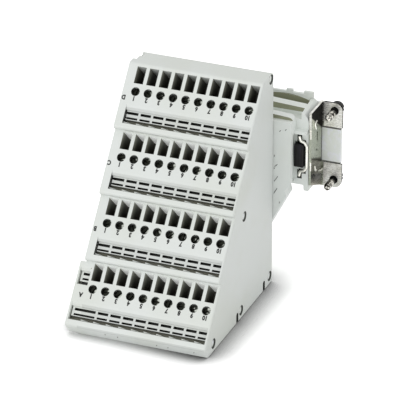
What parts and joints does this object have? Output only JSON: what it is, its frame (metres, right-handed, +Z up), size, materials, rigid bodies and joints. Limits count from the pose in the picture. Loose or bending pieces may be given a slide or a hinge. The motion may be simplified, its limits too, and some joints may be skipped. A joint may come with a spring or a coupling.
{
  "type": "terminal block adapter",
  "caption": "Stepped terminal block adapter: tiers of screw clamps with wire funnels and marker grooves in front, a flanged multi-pole plug connector behind.",
  "frame": {"origin": "centre of the housing's flat base, on the surface that it stands on", "axes": "+Z up, -Y towards the stepped terminal front, +Y towards the mating face, +X to the right of someone facing the terminals"},
  "size_m": [0.088, 0.1005, 0.088],
  "materials": {
    "housing_plastic": "fine matte, pale grey",
    "insert_plastic": "fine matte, light grey",
    "black_plastic": "satin black",
    "plated_sheet": "bright nickel plating",
    "screw_steel": "zinc plating"
  },
  "bodies": {
    "body": {"terminal_housing": "housing_plastic", "rear_cover": "housing_plastic", "connector_hood": "housing_plastic", "contact_insert": "insert_plastic", "flange_bracket_left": "plated_sheet", "flange_bracket_right": "plated_sheet", "locking_block_left": "black_plastic", "locking_block_right": "black_plastic", "locking_spring_left": "plated_sheet", "locking_spring_right": "plated_sheet"},
    "clamp_screw_a1": {"clamp_screw_a1": "screw_steel"},
    "clamp_screw_a2": {"clamp_screw_a2": "screw_steel"},
    "clamp_screw_a3": {"clamp_screw_a3": "screw_steel"},
    "clamp_screw_a4": {"clamp_screw_a4": "screw_steel"},
    "clamp_screw_a5": {"clamp_screw_a5": "screw_steel"},
    "clamp_screw_a6": {"clamp_screw_a6": "screw_steel"},
    "clamp_screw_a7": {"clamp_screw_a7": "screw_steel"},
    "clamp_screw_a8": {"clamp_screw_a8": "screw_steel"},
    "clamp_screw_a9": {"clamp_screw_a9": "screw_steel"},
    "clamp_screw_a10": {"clamp_screw_a10": "screw_steel"},
    "clamp_screw_b1": {"clamp_screw_b1": "screw_steel"},
    "clamp_screw_b2": {"clamp_screw_b2": "screw_steel"},
    "clamp_screw_b3": {"clamp_screw_b3": "screw_steel"},
    "clamp_screw_b4": {"clamp_screw_b4": "screw_steel"},
    "clamp_screw_b5": {"clamp_screw_b5": "screw_steel"},
    "clamp_screw_b6": {"clamp_screw_b6": "screw_steel"},
    "clamp_screw_b7": {"clamp_screw_b7": "screw_steel"},
    "clamp_screw_b8": {"clamp_screw_b8": "screw_steel"},
    "clamp_screw_b9": {"clamp_screw_b9": "screw_steel"},
    "clamp_screw_b10": {"clamp_screw_b10": "screw_steel"},
    "clamp_screw_c1": {"clamp_screw_c1": "screw_steel"},
    "clamp_screw_c2": {"clamp_screw_c2": "screw_steel"},
    "clamp_screw_c3": {"clamp_screw_c3": "screw_steel"},
    "clamp_screw_c4": {"clamp_screw_c4": "screw_steel"},
    "clamp_screw_c5": {"clamp_screw_c5": "screw_steel"},
    "clamp_screw_c6": {"clamp_screw_c6": "screw_steel"},
    "clamp_screw_c7": {"clamp_screw_c7": "screw_steel"},
    "clamp_screw_c8": {"clamp_screw_c8": "screw_steel"},
    "clamp_screw_c9": {"clamp_screw_c9": "screw_steel"},
    "clamp_screw_c10": {"clamp_screw_c10": "screw_steel"},
    "clamp_screw_d1": {"clamp_screw_d1": "screw_steel"},
    "clamp_screw_d2": {"clamp_screw_d2": "screw_steel"},
    "clamp_screw_d3": {"clamp_screw_d3": "screw_steel"},
    "clamp_screw_d4": {"clamp_screw_d4": "screw_steel"},
    "clamp_screw_d5": {"clamp_screw_d5": "screw_steel"},
    "clamp_screw_d6": {"clamp_screw_d6": "screw_steel"},
    "clamp_screw_d7": {"clamp_screw_d7": "screw_steel"},
    "clamp_screw_d8": {"clamp_screw_d8": "screw_steel"},
    "clamp_screw_d9": {"clamp_screw_d9": "screw_steel"},
    "clamp_screw_d10": {"clamp_screw_d10": "screw_steel"},
    "fixing_screw_upper_left": {"fixing_screw_upper_left": "screw_steel"},
    "fixing_screw_upper_right": {"fixing_screw_upper_right": "screw_steel"},
    "fixing_screw_lower_left": {"fixing_screw_lower_left": "screw_steel"},
    "fixing_screw_lower_right": {"fixing_screw_lower_right": "screw_steel"}
  },
  "joints": [
    {"name": "clamp_turn_a1", "type": "hinge", "parent": "body", "child": "clamp_screw_a1", "pos_m": [-0.02286, -0.02727, 0.01636], "axis": [0, 0.7705, -0.6374], "range_deg": [0, 1410]},
    {"name": "clamp_turn_a2", "type": "hinge", "parent": "body", "child": "clamp_screw_a2", "pos_m": [-0.01778, -0.02727, 0.01636], "axis": [0, 0.7705, -0.6374], "range_deg": [0, 1410]},
    {"name": "clamp_turn_a3", "type": "hinge", "parent": "body", "child": "clamp_screw_a3", "pos_m": [-0.0127, -0.02727, 0.01636], "axis": [0, 0.7705, -0.6374], "range_deg": [0, 1410]},
    {"name": "clamp_turn_a4", "type": "hinge", "parent": "body", "child": "clamp_screw_a4", "pos_m": [-0.00762, -0.02727, 0.01636], "axis": [0, 0.7705, -0.6374], "range_deg": [0, 1410]},
    {"name": "clamp_turn_a5", "type": "hinge", "parent": "body", "child": "clamp_screw_a5", "pos_m": [-0.00254, -0.02727, 0.01636], "axis": [0, 0.7705, -0.6374], "range_deg": [0, 1410]},
    {"name": "clamp_turn_a6", "type": "hinge", "parent": "body", "child": "clamp_screw_a6", "pos_m": [0.00254, -0.02727, 0.01636], "axis": [0, 0.7705, -0.6374], "range_deg": [0, 1410]},
    {"name": "clamp_turn_a7", "type": "hinge", "parent": "body", "child": "clamp_screw_a7", "pos_m": [0.00762, -0.02727, 0.01636], "axis": [0, 0.7705, -0.6374], "range_deg": [0, 1410]},
    {"name": "clamp_turn_a8", "type": "hinge", "parent": "body", "child": "clamp_screw_a8", "pos_m": [0.0127, -0.02727, 0.01636], "axis": [0, 0.7705, -0.6374], "range_deg": [0, 1410]},
    {"name": "clamp_turn_a9", "type": "hinge", "parent": "body", "child": "clamp_screw_a9", "pos_m": [0.01778, -0.02727, 0.01636], "axis": [0, 0.7705, -0.6374], "range_deg": [0, 1410]},
    {"name": "clamp_turn_a10", "type": "hinge", "parent": "body", "child": "clamp_screw_a10", "pos_m": [0.02286, -0.02727, 0.01636], "axis": [0, 0.7705, -0.6374], "range_deg": [0, 1410]},
    {"name": "clamp_turn_b1", "type": "hinge", "parent": "body", "child": "clamp_screw_b1", "pos_m": [-0.02286, -0.01307, 0.0374], "axis": [0, 0.7705, -0.6374], "range_deg": [0, 1410]},
    {"name": "clamp_turn_b2", "type": "hinge", "parent": "body", "child": "clamp_screw_b2", "pos_m": [-0.01778, -0.01307, 0.0374], "axis": [0, 0.7705, -0.6374], "range_deg": [0, 1410]},
    {"name": "clamp_turn_b3", "type": "hinge", "parent": "body", "child": "clamp_screw_b3", "pos_m": [-0.0127, -0.01307, 0.0374], "axis": [0, 0.7705, -0.6374], "range_deg": [0, 1410]},
    {"name": "clamp_turn_b4", "type": "hinge", "parent": "body", "child": "clamp_screw_b4", "pos_m": [-0.00762, -0.01307, 0.0374], "axis": [0, 0.7705, -0.6374], "range_deg": [0, 1410]},
    {"name": "clamp_turn_b5", "type": "hinge", "parent": "body", "child": "clamp_screw_b5", "pos_m": [-0.00254, -0.01307, 0.0374], "axis": [0, 0.7705, -0.6374], "range_deg": [0, 1410]},
    {"name": "clamp_turn_b6", "type": "hinge", "parent": "body", "child": "clamp_screw_b6", "pos_m": [0.00254, -0.01307, 0.0374], "axis": [0, 0.7705, -0.6374], "range_deg": [0, 1410]},
    {"name": "clamp_turn_b7", "type": "hinge", "parent": "body", "child": "clamp_screw_b7", "pos_m": [0.00762, -0.01307, 0.0374], "axis": [0, 0.7705, -0.6374], "range_deg": [0, 1410]},
    {"name": "clamp_turn_b8", "type": "hinge", "parent": "body", "child": "clamp_screw_b8", "pos_m": [0.0127, -0.01307, 0.0374], "axis": [0, 0.7705, -0.6374], "range_deg": [0, 1410]},
    {"name": "clamp_turn_b9", "type": "hinge", "parent": "body", "child": "clamp_screw_b9", "pos_m": [0.01778, -0.01307, 0.0374], "axis": [0, 0.7705, -0.6374], "range_deg": [0, 1410]},
    {"name": "clamp_turn_b10", "type": "hinge", "parent": "body", "child": "clamp_screw_b10", "pos_m": [0.02286, -0.01307, 0.0374], "axis": [0, 0.7705, -0.6374], "range_deg": [0, 1410]},
    {"name": "clamp_turn_c1", "type": "hinge", "parent": "body", "child": "clamp_screw_c1", "pos_m": [-0.02286, 0.00113, 0.05844], "axis": [0, 0.7705, -0.6374], "range_deg": [0, 1410]},
    {"name": "clamp_turn_c2", "type": "hinge", "parent": "body", "child": "clamp_screw_c2", "pos_m": [-0.01778, 0.00113, 0.05844], "axis": [0, 0.7705, -0.6374], "range_deg": [0, 1410]},
    {"name": "clamp_turn_c3", "type": "hinge", "parent": "body", "child": "clamp_screw_c3", "pos_m": [-0.0127, 0.00113, 0.05844], "axis": [0, 0.7705, -0.6374], "range_deg": [0, 1410]},
    {"name": "clamp_turn_c4", "type": "hinge", "parent": "body", "child": "clamp_screw_c4", "pos_m": [-0.00762, 0.00113, 0.05844], "axis": [0, 0.7705, -0.6374], "range_deg": [0, 1410]},
    {"name": "clamp_turn_c5", "type": "hinge", "parent": "body", "child": "clamp_screw_c5", "pos_m": [-0.00254, 0.00113, 0.05844], "axis": [0, 0.7705, -0.6374], "range_deg": [0, 1410]},
    {"name": "clamp_turn_c6", "type": "hinge", "parent": "body", "child": "clamp_screw_c6", "pos_m": [0.00254, 0.00113, 0.05844], "axis": [0, 0.7705, -0.6374], "range_deg": [0, 1410]},
    {"name": "clamp_turn_c7", "type": "hinge", "parent": "body", "child": "clamp_screw_c7", "pos_m": [0.00762, 0.00113, 0.05844], "axis": [0, 0.7705, -0.6374], "range_deg": [0, 1410]},
    {"name": "clamp_turn_c8", "type": "hinge", "parent": "body", "child": "clamp_screw_c8", "pos_m": [0.0127, 0.00113, 0.05844], "axis": [0, 0.7705, -0.6374], "range_deg": [0, 1410]},
    {"name": "clamp_turn_c9", "type": "hinge", "parent": "body", "child": "clamp_screw_c9", "pos_m": [0.01778, 0.00113, 0.05844], "axis": [0, 0.7705, -0.6374], "range_deg": [0, 1410]},
    {"name": "clamp_turn_c10", "type": "hinge", "parent": "body", "child": "clamp_screw_c10", "pos_m": [0.02286, 0.00113, 0.05844], "axis": [0, 0.7705, -0.6374], "range_deg": [0, 1410]},
    {"name": "clamp_turn_d1", "type": "hinge", "parent": "body", "child": "clamp_screw_d1", "pos_m": [-0.02286, 0.01533, 0.07948], "axis": [0, 0.7705, -0.6374], "range_deg": [0, 1410]},
    {"name": "clamp_turn_d2", "type": "hinge", "parent": "body", "child": "clamp_screw_d2", "pos_m": [-0.01778, 0.01533, 0.07948], "axis": [0, 0.7705, -0.6374], "range_deg": [0, 1410]},
    {"name": "clamp_turn_d3", "type": "hinge", "parent": "body", "child": "clamp_screw_d3", "pos_m": [-0.0127, 0.01533, 0.07948], "axis": [0, 0.7705, -0.6374], "range_deg": [0, 1410]},
    {"name": "clamp_turn_d4", "type": "hinge", "parent": "body", "child": "clamp_screw_d4", "pos_m": [-0.00762, 0.01533, 0.07948], "axis": [0, 0.7705, -0.6374], "range_deg": [0, 1410]},
    {"name": "clamp_turn_d5", "type": "hinge", "parent": "body", "child": "clamp_screw_d5", "pos_m": [-0.00254, 0.01533, 0.07948], "axis": [0, 0.7705, -0.6374], "range_deg": [0, 1410]},
    {"name": "clamp_turn_d6", "type": "hinge", "parent": "body", "child": "clamp_screw_d6", "pos_m": [0.00254, 0.01533, 0.07948], "axis": [0, 0.7705, -0.6374], "range_deg": [0, 1410]},
    {"name": "clamp_turn_d7", "type": "hinge", "parent": "body", "child": "clamp_screw_d7", "pos_m": [0.00762, 0.01533, 0.07948], "axis": [0, 0.7705, -0.6374], "range_deg": [0, 1410]},
    {"name": "clamp_turn_d8", "type": "hinge", "parent": "body", "child": "clamp_screw_d8", "pos_m": [0.0127, 0.01533, 0.07948], "axis": [0, 0.7705, -0.6374], "range_deg": [0, 1410]},
    {"name": "clamp_turn_d9", "type": "hinge", "parent": "body", "child": "clamp_screw_d9", "pos_m": [0.01778, 0.01533, 0.07948], "axis": [0, 0.7705, -0.6374], "range_deg": [0, 1410]},
    {"name": "clamp_turn_d10", "type": "hinge", "parent": "body", "child": "clamp_screw_d10", "pos_m": [0.02286, 0.01533, 0.07948], "axis": [0, 0.7705, -0.6374], "range_deg": [0, 1410]},
    {"name": "fixing_turn_upper_left", "type": "hinge", "parent": "body", "child": "fixing_screw_upper_left", "pos_m": [-0.0377, 0.05115, 0.06755], "axis": [0, -1, 0], "continuous": true},
    {"name": "fixing_turn_upper_right", "type": "hinge", "parent": "body", "child": "fixing_screw_upper_right", "pos_m": [0.0439, 0.05115, 0.06755], "axis": [0, -1, 0], "continuous": true},
    {"name": "fixing_turn_lower_left", "type": "hinge", "parent": "body", "child": "fixing_screw_lower_left", "pos_m": [-0.0377, 0.05115, 0.03845], "axis": [0, -1, 0], "continuous": true},
    {"name": "fixing_turn_lower_right", "type": "hinge", "parent": "body", "child": "fixing_screw_lower_right", "pos_m": [0.0439, 0.05115, 0.03845], "axis": [0, -1, 0], "continuous": true}
  ]
}
